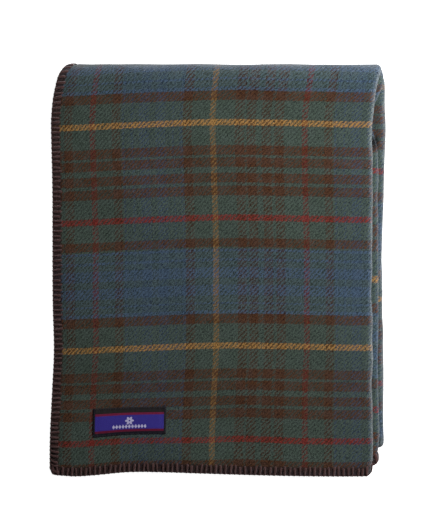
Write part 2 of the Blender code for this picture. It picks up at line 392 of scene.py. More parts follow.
@dataclass(frozen=True)
class TartanWool:
    """Brushed twill in wool: the warp and the weft show in turn along slanting ribs, under a soft nap."""

    sett: Sett = Sett()
    rib_across: float = 0.0049
    rib_along: float = 0.0053
    rib_stray: float = 7.0
    thread_stray: float = 0.0016
    weft_share: float = 0.65
    rib_swing: float = 0.42
    hair_swing: float = 0.5
    grain_swing: float = 0.9
    fluff_shows: tuple[float, float] = (0.4, 0.12)
    fluff_colour: Colour = linear(70, 76, 80)
    # Dark band under the blanket stitch: partly dark yarn and pressed cloth, partly painted shade between the
    # stitch bars.
    bound_yarn_and_shade_width: float = 0.0095
    bound_yarn_and_shade_fade: float = 0.0015
    bound_yarn_and_shade_share: float = 0.9
    bound_yarn_and_shade_colour: Colour = linear(45, 27, 26)
    # Pale colour on the rolls and side folds: partly raised fuzz, partly a painted sheen highlight.
    fuzz_and_sheen_share: float = 1.1
    fuzz_and_sheen_colour: Colour = linear(134, 141, 144)
    shade: float = 0.72
    rib_shade: float = 0.16
    hair_shade: float = 1.5
    grain_shade: float = 1.9
    fluff_shade: float = 0.3
    rib_height: float = 0.28
    hair_height: float = 0.7
    low_height: float = 0.1
    bump_depth: float = 0.0007

    def threads(self, bench: Bench, u: Wire, v: Wire, strays: tuple[Wire, Wire]) -> tuple[Wire, Wire]:
        """Colour the warp and the weft by the sett.

        Args:
            bench: The material's bench.
            u: Across the cloth.
            v: Along the cloth.
            strays: How far the warp and the weft stray sideways, 0 to 1.

        Returns:
            The colours of the warp and of the weft.
        """
        sett = self.sett
        warp_at = (u + (strays[0] - 0.5) * self.thread_stray - sett.first_warp) / sett.across
        weft_at = (sett.first_weft - v + (strays[1] - 0.5) * self.thread_stray) / sett.along
        ramp = {"stops": sett.stops()}
        warp = bench.wire(bench.node("ShaderNodeValToRGB", ramp, {0: warp_at.fract()}))
        weft = bench.wire(bench.node("ShaderNodeValToRGB", ramp, {0: weft_at.fract()}))
        return warp, weft

    def make(self) -> bpy.types.Material:
        """Build the material.

        Returns:
            The material.
        """
        bench = Bench("tartan_wool")
        place = bench.cloth_place()
        u, v, _ = bench.split(place)
        wander = bench.noise(bench.stretched(place, (420.0, 420.0, 1.0)), 2.0, 0.6)
        warp_strays, weft_strays, _ = bench.split(bench.wire(wander, "Color"))
        warp, weft = self.threads(bench, u, v, (warp_strays, weft_strays))
        slant = u * (TURN / self.rib_across) - v * (TURN / self.rib_along)
        ribs = (slant + (warp_strays - 0.5) * self.rib_stray).sine()
        slope = math.atan2(self.rib_along, self.rib_across)
        hairs = bench.wire(bench.noise(bench.stretched(place, (330.0, 950.0, 1.0), -slope), 3.0, 0.65))
        grain = bench.wire(bench.noise(bench.stretched(place, (760.0, 760.0, 1.0)), 2.0, 0.7))
        fluff = bench.wire(bench.noise(bench.stretched(place, (95.0, 95.0, 1.0)), 2.0, 0.55))
        uneven = (hairs - 0.5) * self.hair_swing
        shows = (ribs * self.rib_swing + uneven + (grain - 0.5) * self.grain_swing + self.weft_share).held()
        woven = bench.mix(shows, warp, weft)
        fluff_gain, fluff_loss = self.fluff_shows
        wear_and_painted_light = bench.mix((fluff * fluff_gain - fluff_loss).held(), woven, self.fluff_colour)
        edge, fuzz_and_painted_light, _ = bench.split(bench.wire(bench.node("ShaderNodeUVMap", {"uv_map": HEM_AND_PAINTED_LIGHT_MAP}, {})))
        # Dark band along the hems: partly dark yarn and pressed cloth, partly painted shade between the
        # stitch bars.
        bound_yarn_and_shade = ((self.bound_yarn_and_shade_width - edge) / self.bound_yarn_and_shade_fade).held() * self.bound_yarn_and_shade_share
        wear_and_painted_light = bench.mix(bound_yarn_and_shade, wear_and_painted_light, self.bound_yarn_and_shade_colour)
        # Paler where the cloth turns over: partly raised fuzz, partly a painted sheen highlight.
        wear_and_painted_light = bench.mix((fuzz_and_painted_light * (hairs * self.fuzz_and_sheen_share)).held(), wear_and_painted_light, self.fuzz_and_sheen_colour)
        shade = self.shade + ribs * self.rib_shade + (hairs - 0.5) * self.hair_shade
        shade = shade + (grain - 0.5) * self.grain_shade + (fluff - 0.5) * self.fluff_shade
        # Where the fuzz share falls below 0 it darkens the colour: painted shade in the opening under the top
        # fold.
        colour = bench.shaded(wear_and_painted_light, (shade * ((fuzz_and_painted_light + 1.0).held())).held())
        height = (ribs * self.rib_height + hairs * self.hair_height + self.low_height).held()
        return bench.finish(
            colour,
            0.95,
            height,
            self.bump_depth,
            Specular_IOR_Level=0.15,
            Sheen_Weight=0.16,
            Sheen_Roughness=0.5,
            Sheen_Tint=linear(205, 208, 214),
        )


@dataclass(frozen=True)
class NapHair:
    """Loose pale hairs of the brushed wool."""

    dark: Colour = linear(74, 82, 87)
    pale: Colour = linear(150, 153, 155)

    def make(self) -> bpy.types.Material:
        """Build the material.

        Returns:
            The material.
        """
        bench = Bench("nap_hair")
        patches = bench.wire(bench.noise(bench.stretched(bench.cloth_place(), (300.0, 300.0, 1.0)), 2.0, 0.6))
        colour = bench.mix((patches * 2.0 - 0.5).held(), self.dark, self.pale)
        return bench.finish(colour, 0.9, None, 0.0, Specular_IOR_Level=0.3, Sheen_Weight=0.4)


@dataclass(frozen=True)
class EdgeYarn:
    """Thick dark wool yarn of the blanket stitch."""

    body: Colour = linear(50, 28, 26)
    light: Colour = linear(80, 55, 53)
    strand: float = 0.0011
    bump_depth: float = 0.0004

    def make(self) -> bpy.types.Material:
        """Build the material.

        Returns:
            The material.
        """
        bench = Bench("edge_yarn")
        place = bench.cloth_place()
        fine = 1 / self.strand
        strands = bench.wire(bench.noise(bench.stretched(place, (fine, fine, 1.0), 0.6), 3.0, 0.6))
        patches = bench.wire(bench.noise(bench.stretched(place, (140.0, 140.0, 1.0)), 2.0, 0.5))
        lit = (strands * 1.6 + patches * 0.8 - 0.9).held()
        colour = bench.mix(lit, self.body, self.light)
        return bench.finish(
            colour,
            0.92,
            strands,
            self.bump_depth,
            Specular_IOR_Level=0.2,
            Sheen_Weight=0.3,
            Sheen_Roughness=0.5,
            Sheen_Tint=linear(205, 196, 200),
        )


@dataclass(frozen=True)
class LabelWeave:
    """Satin label: a blue field in burgundy lines and dark borders, with a rosette and a row of lozenges."""

    width: float = 0.0788
    height: float = 0.0314
    dark_end: float = 0.0024
    rosette: float = 0.0047
    rosette_up: float = 0.0004
    rosette_eye: float = 0.0009
    rosette_petals: int = 6
    row_down: float = 0.0062
    row_half: float = 0.0182
    lozenge: float = 0.0034
    lozenge_half: float = 0.0024
    lozenge_narrow: float = 2.1
    pick: float = 0.00045
    end: float = 0.0009
    figure_share: float = 0.88
    figure: Colour = linear(196, 190, 222)
    turned_end: Colour = linear(18, 16, 24)
    bump_depth: float = 0.00012

    def motif(self, bench: Bench, x: Wire, y: Wire) -> Wire:
        """Draw the pale figures.

        Args:
            bench: The material's bench.
            x: Across the label from its middle, in metres.
            y: Up the label from its middle, in metres.

        Returns:
            1 on a figure, else 0.
        """
        up = y - self.rosette_up
        far = bench.maths("SQRT", x * x + up * up)
        petals = abs(bench.maths("COSINE", bench.maths("ARCTAN2", up, x) * (self.rosette_petals / 2)))
        flower = far < (petals * 0.5 + 0.5) * self.rosette
        flower = flower * (far > self.rosette_eye)
        step = abs((x / self.lozenge + 0.5).fract() - 0.5) * self.lozenge_narrow
        tall = abs(y + self.row_down) / self.lozenge_half
        row = ((step + tall) < 1.0) * (abs(x) < self.row_half)
        return bench.maths("MAXIMUM", flower, row)

    def make(self) -> bpy.types.Material:
        """Build the material.

        Returns:
            The material.
        """
        bench = Bench("label_weave")
        place = bench.cloth_place()
        x, y, _ = bench.split(place)
        stops = [
            (0.0, linear(16, 14, 28)),
            (0.120, linear(98, 10, 46)),
            (0.200, linear(52, 42, 136)),
            (0.715, linear(108, 16, 56)),
            (0.800, linear(24, 20, 22)),
        ]
        bands = bench.wire(bench.node("ShaderNodeValToRGB", {"stops": stops}, {0: y / self.height + 0.5}))
        threads = bench.wire(bench.noise(bench.stretched(place, (2600.0, 900.0, 1.0)), 1.0, 0.5))
        picks = (y * (TURN / self.pick)).sine() * (x * (TURN / self.end)).sine()
        drawn = bench.mix(self.motif(bench, x, y) * self.figure_share, bands, self.figure)
        ended = bench.mix(abs(x) > (self.width / 2 - self.dark_end), drawn, self.turned_end)
        colour = bench.shaded(ended, (0.82 + picks * 0.06 + (threads - 0.5) * 0.35).held())
        height = (picks * 0.3 + threads * 0.4 + 0.3).held()
        return bench.finish(colour, 0.6, height, self.bump_depth, Specular_IOR_Level=0.2)


@dataclass(frozen=True)
class LabelThread:
    """Fine dark sewing thread."""

    dark: Colour = linear(16, 14, 20)
    light: Colour = linear(44, 40, 50)
    bump_depth: float = 0.0001

    def make(self) -> bpy.types.Material:
        """Build the material.

        Returns:
            The material.
        """
        bench = Bench("label_thread")
        lay = bench.stretched(bench.cloth_place(), (4000.0, 1500.0, 1.0))
        strands = bench.wire(bench.noise(lay, 1.0, 0.5))
        colour = bench.mix(strands, self.dark, self.light)
        return bench.finish(colour, 0.6, strands, self.bump_depth, Specular_IOR_Level=0.35)


# ---------------------------------------------------------------------------
# The fold and the settle
# ---------------------------------------------------------------------------


@dataclass(frozen=True)
class FoldPlan:
    """How the flat cloth is folded: in quarters across its width, then in quarters along its length."""

    width: float = 1.372
    length: float = 1.676
    thick: float = 0.0026
    layer: float = 0.0029
    left_inset: float = 0.00475
    hem_inset: float = 0.003
    first_setback: float = 0.0312
    end_setback: float = 0.0145
    back_shift: float = 0.0124
    inner_shift: float = 0.006
    shift_lead: float = 0.045
    stitch_out: float = 0.0008

    @property
    def strip(self) -> float:
        """Height of one strip of four layers."""
        return 4 * self.layer

    @property
    def outer_radius(self) -> float:
        """Radius of the top fold, at the middle of its strip."""
        return 1.5 * self.strip

    @property
    def inner_radius(self) -> float:
        """Radius of the folds inside, at the middle of their strips."""
        return 0.5 * self.strip

    @property
    def side_run(self) -> float:
        """Width of the front layer."""
        arcs = math.pi * 2.5 * self.layer
        return (self.width - arcs + 2 * self.left_inset + self.hem_inset) / 4

    @property
    def front_run(self) -> float:
        """Length of the front strip, from its hem to the top fold."""
        arcs = math.pi * (self.outer_radius + 2 * self.inner_radius)
        setbacks = 2 * (self.first_setback + self.strip) + self.end_setback
        return (self.length - arcs + setbacks) / 4

    @property
    def back_run(self) -> float:
        """Length of a back strip."""
        return self.front_run - self.first_setback - self.strip

    @property
    def rolls(self) -> tuple[tuple[float, float], ...]:
        """Where along the cloth each of the three end folds starts and ends."""
        outer = self.front_run
        outer_end = outer + math.pi * self.outer_radius
        first = outer_end + self.back_run
        first_end = first + math.pi * self.inner_radius
        inner = first_end + self.back_run
        return ((outer, outer_end), (first, first_end), (inner, inner + math.pi * self.inner_radius))

    @property
    def side_folds(self) -> tuple[tuple[float, float], ...]:
        """Where across the cloth each of the three side folds starts and ends."""
        start = self.side_run
        end = start + math.pi * 1.5 * self.layer
        spans = [(start, end)]
        for _ in range(2):
            start = end + self.side_run - self.left_inset
            end = start + math.pi * 0.5 * self.layer
            spans.append((start, end))
        return tuple(spans)

    @property
    def left_x(self) -> float:
        """X of the front hem on the left."""
        reach = 1.5 * self.layer + self.thick / 2
        return -(self.side_run + reach + self.back_shift - self.stitch_out) / 2

    @property
    def hinge(self) -> tuple[float, float]:
        """Y and Z of the top fold's axis."""
        reach = self.outer_radius + 1.5 * self.layer + self.thick / 2
        y = (self.front_run + self.stitch_out - reach) / 2
        return y, 2 * self.strip - (self.layer - self.thick) / 2

    @staticmethod
    def walk(
        distance: np.ndarray,
        start: tuple[float, float],
        legs: tuple[tuple[float, int, float], ...],
    ) -> tuple[np.ndarray, np.ndarray, np.ndarray]:
        """Follow a path of straight runs, each ending in a half turn.

        Args:
            distance: How far along the path, in metres.
            start: Where it starts. It sets out level.
            legs: The run, the side (1 left, -1 right) and the radius of each leg.

        Returns:
            Across, up and heading at each distance.
        """
        across = np.full(distance.shape, start[0])
        up = np.full(distance.shape, start[1])
        heading = np.zeros(distance.shape)
        left = distance.copy()
        for run, side, radius in legs:
            straight = np.minimum(left, run)
            across += straight * np.cos(heading)
            up += straight * np.sin(heading)
            swept = side * np.clip((left - run) / radius, 0.0, math.pi)
            across += side * radius * (np.sin(heading + swept) - np.sin(heading))
            up += side * radius * (np.cos(heading) - np.cos(heading + swept))
            heading += swept
            left = np.maximum(left - run - math.pi * radius, 0.0)
        across += left * np.cos(heading)
        up += left * np.sin(heading)
        return across, up, heading

    def fold(self, flat: np.ndarray) -> np.ndarray:
        """Fold points of the flat cloth.

        Args:
            flat: Rows of (u, v, w).

        Returns:
            Rows of (x, y, z).
        """
        u, v, w = flat.T
        inner = self.side_run - self.left_inset
        half_layer = self.layer / 2
        across = ((self.side_run, -1, 1.5 * self.layer), (inner, -1, half_layer), (inner, 1, half_layer))
        x, rise, turn = self.walk(u, (0.0, 1.5 * self.layer), across)
        x = x - w * np.sin(turn)
        rise = rise + w * np.cos(turn)
        along = (
            (self.front_run, -1, self.outer_radius),
            (self.back_run, -1, self.inner_radius),
            (self.back_run, 1, self.inner_radius),
        )
        y, z, heading = self.walk(v, (-self.front_run, self.outer_radius), along)
        y = y - rise * np.sin(heading)
        z = z + rise * np.cos(heading)
        outer, _, last = self.rolls
        out = smooth_step(v, outer[0] - self.shift_lead, outer[1])
        back = smooth_step(v, last[0], last[1] + self.shift_lead)
        shift = self.back_shift * out - (self.back_shift - self.inner_shift) * back
        hinge_y, hinge_z = self.hinge
        return np.stack([self.left_x + x + shift, hinge_y + y, hinge_z + z], axis=1)

    def upper_share(self, v: np.ndarray) -> np.ndarray:
        """Say how far each length of the cloth belongs to the upper half.

        Args:
            v: Distances along the cloth.

        Returns:
            1 on the two upper strips, 0 on the two lower ones, and even in between over the two folds.
        """
        outer, _, last = self.rolls
        closing = np.clip((v - outer[0]) / (outer[1] - outer[0]), 0.0, 1.0)
        opening = np.clip((v - last[0]) / (last[1] - last[0]), 0.0, 1.0)
        return 1 - closing + opening


@dataclass(frozen=True)
class Settle:
    """How the folded pile has settled: its sway, its slumped corners and its soft dents."""

    plan: FoldPlan
    foot: float = -0.2245
    sway: Bend = Bend(
        (
            (-0.2245, -0.0026), (-0.19, -0.0025), (-0.13, -0.0002), (-0.087, 0.0021), (-0.04, 0.0020),
            (0.04, 0.0018), (0.09, 0.0003), (0.15, -0.0017), (0.172, -0.0022), (0.193, -0.0038),
            (0.2147, -0.0050),
        )
    )
    left_line: Bend = Bend(
        (
            (-0.2245, 0.0018), (-0.19, 0.0018), (-0.13, 0.0020), (-0.087, 0.0016), (-0.04, 0.0005),
            (0.04, 0.0004), (0.09, 0.0017), (0.15, 0.0023),
            (0.172, 0.0025), (0.193, 0.0024), (0.2147, 0.0018),
        )
    )
    sway_in: tuple[float, float] = (0.0, 0.11)
    sway_out: tuple[float, float] = (0.10, 0.17)
    left_line_fade: float = 0.045
    bow: Bend = Bend(((0.0, 0.0069), (0.08, 0.0037), (0.19, 0.0), (0.25, 0.0009), (0.34, 0.0026)))
    hem_line: Bend = Bend(
        (
            (-0.178, 0.0010), (-0.150, -0.0004), (-0.132, 0.0006), (-0.095, 0.0040), (-0.055, 0.0040),
            (-0.011, 0.0026), (0.045, 0.0008), (0.15, -0.0006),
        )
    )
    drift: Bend = Bend(
        (
            (0.28, 0.0), (0.37, 0.0012), (0.45, 0.0016), (0.85, 0.06), (1.06, 0.0876), (1.18, 0.0845),
            (1.385, 0.1225), (1.505, 0.106),
        )
    )
    hem_bow: Bend = Bend(
        (
            (0.0135, -0.0040), (0.04, -0.0036), (0.08, -0.0016), (0.12, -0.0004), (0.175, -0.0006),
            (0.20, -0.0022), (0.27, -0.0022), (0.32, -0.0032), (0.345, -0.0036),
        )
    )
    hem_bow_fade: tuple[float, float] = (0.04, 0.13)
    hem_fade: float = -0.11
    corner_pull: float = 0.0065
    corner_reach: float = 0.0076
    corner_shape: float = 1.6
    corner_fade: float = 0.045
    free_corner: float = 0.006
    free_corner_cut: float = 0.98
    left_slump: float = 0.0135
    left_slump_from: float = 0.165
    left_slump_fade: float = 0.085
    dent: float = 0.0011
    dent_waves: tuple[float, float] = (0.11, 1.3)
    dent_lift: float = 1.5
    fold_wobble: float = 0.0009
    fold_squash: float = 3.2
    fold_waves: tuple[float, float] = (0.055, 0.4)
    wobble_from: tuple[float, float] = (0.13, 0.17)
    roll_wobble: float = 0.0006
    roll_squash: float = 3.0
    roll_waves: tuple[float, float] = (0.06, 2.2)
    roll_wobble_from: tuple[float, float] = (0.17, 0.2)
    under_out: float = 0.0018
    under_down: float = 0.0040
    under_out_to: float = 0.16
    under_strips: tuple[float, float] = (2.85, 3.03)
    right_ends: tuple[float, float] = (0.12, 0.165)
    back_out: Bend = Bend(
        (
            (-0.20, 0.0004), (-0.16, 0.0004), (-0.08, 0.0009), (-0.03, 0.0), (0.06, 0.0003),
            (0.10, 0.0022), (0.19, 0.0026), (0.22, 0.0024),
        )
    )
    second_out: float = 0.0010
    pocket: tuple[float, float, float] = (0.163, 0.040, 0.0085)
    deepest: tuple[float, float] = (0.1375, 0.012)
    pocket_in: tuple[float, float] = (0.1635, 0.1665)
    pocket_out: tuple[float, float] = (0.1725, 0.1765)
    meeting: tuple[float, float] = (0.026, 0.0285)
    # Painted shade in the opening under the top fold: along the hollow, and stronger at its deepest point.
    pocket_painted_shade: float = 0.15
    deepest_painted_shade: float = 0.65
    sunk_share: float = 0.1

    def flat_pull(self, flat: np.ndarray) -> np.ndarray:
        """Draw the hems in where the side folds cross them.

        Args:
            flat: Rows of (u, v, w).

        Returns:
            The same rows, pulled.
        """
        u, v, w = flat.T
        pull = np.zeros_like(u)
        for start, end in self.plan.side_folds:
            off = np.abs(u - (start + end) / 2)
            pull = np.maximum(pull, np.clip(1 - off / self.corner_reach, 0.0, 1.0) ** self.corner_shape)
        edge = np.clip(1 - np.minimum(u, self.plan.width - u) / self.free_corner, 0.0, 1.0)
        rounding = 1 - np.sqrt(1 - edge * edge * self.free_corner_cut)
        pull = self.corner_pull * pull + self.free_corner * rounding
        near = 1 - smooth_step(v, 0.0, self.corner_fade)
        far = smooth_step(v, self.plan.length - self.corner_fade, self.plan.length)
        return np.stack([u, v + pull * (near - far), w], axis=1)

    def place(self, flat: np.ndarray) -> np.ndarray:
        """Fold points of the flat cloth and let them settle.

        Args:
            flat: Rows of (u, v, w).

        Returns:
            Rows of (x, y, z).
        """
        x, y, z = self.plan.fold(self.flat_pull(flat)).T
        low = 1 - smooth_step(y, self.foot, self.hem_fade)
        strip = self.plan.strip
        under = (1 - smooth_step(z, self.under_strips[0] * strip, self.under_strips[1] * strip)) * low
        spread = self.under_out * under * smooth_step(x, 0.0, self.under_out_to)
        wobble = ripple(y, z * self.fold_squash, *self.fold_waves) * self.fold_wobble
        wobble = wobble * smooth_step(x, *self.wobble_from)
        roll = ripple(x, z * self.roll_squash, *self.roll_waves) * self.roll_wobble
        roll = roll * smooth_step(y, *self.roll_wobble_from)
        lift = (np.clip(z, 0.0, None) / (self.plan.hinge[1] * 2)) ** self.dent_lift
        height = z + ripple(x, y, *self.dent_waves) * self.dent * lift
        along = y + self.hem_line.at(x) * low + roll - self.under_down * under
        across = x + self.left_sway(x, y) + wobble + self.right_aside(x, y, flat[:, 1]) + spread
        return np.stack([across, along, np.where(height < 0, height * self.sunk_share, height)], axis=1)

    def left_sway(self, x: np.ndarray, y: np.ndarray) -> np.ndarray:
        """Say how far the left side and its top corner have moved sideways.

        Args:
            x: Across the folded pile.
            y: Along it.

        Returns:
            The distances, positive to the right.
        """
        left = self.plan.left_x
        sway = self.sway.at(y)
        fade = np.where(sway < 0, smooth_step(x, *self.sway_in), smooth_step(x, *self.sway_out))
        straight = 1 - smooth_step(x, left, left + self.left_line_fade)
        sway = sway * (1 - fade) + self.left_line.at(y) * straight
        reach = self.plan.hinge[0] + self.plan.outer_radius + 1.5 * self.plan.layer + self.plan.thick / 2
        high = np.clip((y - self.left_slump_from) / (reach - self.left_slump_from), 0.0, 1.0)
        slump = self.left_slump * (1 - np.sqrt(1 - high * high))
        return sway + slump * (1 - smooth_step(x, left, left + self.left_slump_fade))

    @staticmethod
    def hill(y: np.ndarray, middle: float, wide: float) -> np.ndarray:
        """Rise smoothly to 1 at the middle and back to 0 at this width on either side."""
        return np.cos(math.pi / 2 * np.clip((y - middle) / wide, -1, 1)) ** 2

    def right_aside(self, x: np.ndarray, y: np.ndarray, v: np.ndarray) -> np.ndarray:
        """Say how far the right ends of the strips stand out, or sink in at the hollow.

        Args:
            x: Across the folded pile.
            y: Along it.
            v: Along the flat cloth.

        Returns:
            The distances, positive to the right.
        """
        outer, _, last = self.plan.rolls
        on_second = smooth_step(v, *last)
        on_back = smooth_step(v, *outer) - on_second
        middle, wide, deep = self.pocket
        hollow = self.hill(y, middle, wide) * deep * on_second
        aside = self.back_out.at(y) * on_back + self.second_out * on_second - hollow
        return aside * smooth_step(x, *self.right_ends)

    def painted_shade(self, flat: np.ndarray, placed: np.ndarray) -> np.ndarray:
        """Say how much painted shade darkens the cloth in the narrow opening under the right end of the top
        fold.

        Args:
            flat: Rows of (u, v, w).
            placed: The same points on the settled pile.

        Returns:
            The share of painted shade, 0 to 1.
        """
        x, y, z = placed.T
        outer, _, last = self.plan.rolls
        middle, wide, _ = self.pocket
        dark = self.pocket_painted_shade * self.hill(y, middle, wide)
        dark = dark + self.deepest_painted_shade * self.hill(y, *self.deepest)
        inside = smooth_step(x, *self.pocket_in) * (1 - smooth_step(x, *self.pocket_out))
        meets = smooth_step(flat[:, 1], *last) * (1 - smooth_step(z, *self.meeting))
        return dark * inside * smooth_step(flat[:, 1], *outer) * (1 - meets)

    def weave_place(self, flat: np.ndarray) -> np.ndarray:
        """Say which threads cross at each point, as the weave has bowed.

        Args:
            flat: Rows of (u, v, w).

        Returns:
            Rows of (u, v) in the unbowed weave.
        """
        u, v, _ = flat.T
        near_hem = 1 - smooth_step(v, *self.hem_bow_fade)
        return np.stack([u, v + self.bow.at(u) + self.drift.at(v) + self.hem_bow.at(u) * near_hem], axis=1)


# ---------------------------------------------------------------------------
# Pieces
# ---------------------------------------------------------------------------


def make_piece(
    name: str,
    points: np.ndarray,
    quads: np.ndarray,
    marks: np.ndarray,
    finish: bpy.types.Material,
    hem: np.ndarray | None = None,
) -> bpy.types.Object:
    """Make a smooth mesh piece.

    Args:
        name: Its name.
        points: Rows of (x, y, z).
        quads: Rows of four corners.
        marks: Where each point is on its flat cloth, for the finish.
        finish: Its material.
        hem: Each point's distance from the hem, and its share of raised fuzz and painted sheen highlight,
            below 0 where shade is painted, where the finish asks.

    Returns:
        The piece.
    """
    mesh = bpy.data.meshes.new(name)
    mesh.vertices.add(len(points))
    mesh.vertices.foreach_set("co", points.astype(np.float32).ravel())
    mesh.loops.add(quads.size)
    mesh.loops.foreach_set("vertex_index", quads.astype(np.int32).ravel())
    mesh.polygons.add(len(quads))
    mesh.polygons.foreach_set("loop_start", np.arange(0, quads.size, 4, dtype=np.int32))
    mesh.update(calc_edges=True)
    mesh.validate()
    corners = np.zeros(len(mesh.loops), np.int32)
    mesh.loops.foreach_get("vertex_index", corners)
    maps = {CLOTH_MAP: marks}
    if hem is not None:
        maps[HEM_AND_PAINTED_LIGHT_MAP] = hem
    for map_name, places in maps.items():
        layer = mesh.uv_layers.new(name=map_name)
        layer.data.foreach_set("uv", places[corners].astype(np.float32).ravel())
    mesh.shade_smooth()
    mesh.materials.append(finish)
    piece = bpy.data.objects.new(name, mesh)
    bpy.context.scene.collection.objects.link(piece)
    return piece


def blend_along(piece: bpy.types.Object, share: np.ndarray) -> None:
    """Set the piece's points for a moment at places along Y given by each point's share of the upper half,
    bake its transform, then put its final points back.

    Args:
        piece: The piece, with its final points.
        share: How far each point belongs to the upper half.
    """
    count = len(piece.data.vertices)
    folded = np.zeros(count * 3, np.float32)
    piece.data.vertices.foreach_get("co", folded)
    along = np.zeros((count, 3), np.float32)
    along[:, 1] = 0.5 - np.sin(np.arcsin(np.clip(1 - 2 * share, -1, 1)) / 3)
    piece.data.vertices.foreach_set("co", along.ravel())
    piece.data.update()
    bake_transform(piece)
    piece.data.vertices.foreach_set("co", folded)
    piece.data.update()


def spaced(spans: list[tuple[float, float, float]]) -> np.ndarray:
    """Divide a line more finely in some spans than in others.

    Args:
        spans: The start, the end and the step of each span, in order.

    Returns:
        The places, ascending, without repeats.
    """
    places: list[float] = []
    for start, end, step in spans:
        count = max(1, round((end - start) / step))
        places += list(np.linspace(start, end, count + 1))
    return np.unique(np.round(places, 7))


def tube_quads(rings: int, sides: int) -> np.ndarray:
    """List the faces of a closed tube.

    Args:
        rings: How many rings it has.
        sides: How many points each ring has, an even number.

    Returns:
        Rows of four corners, its two ends included.
    """
    ring, side = np.meshgrid(np.arange(rings - 1), np.arange(sides), indexing="ij")
    first = ring * sides + side
    second = ring * sides + (side + 1) % sides
    walls = np.stack([first, second, second + sides, first + sides], axis=-1).reshape(-1, 4)
    caps = []
    last = (rings - 1) * sides
    for k in range(1, sides - 1, 2):
        caps.append([0, k + 2 if k + 2 < sides else sides - 1, k + 1, k])
        caps.append([last, last + k, last + k + 1, last + (k + 2 if k + 2 < sides else sides - 1)])
    return np.concatenate([walls, np.array(caps)])


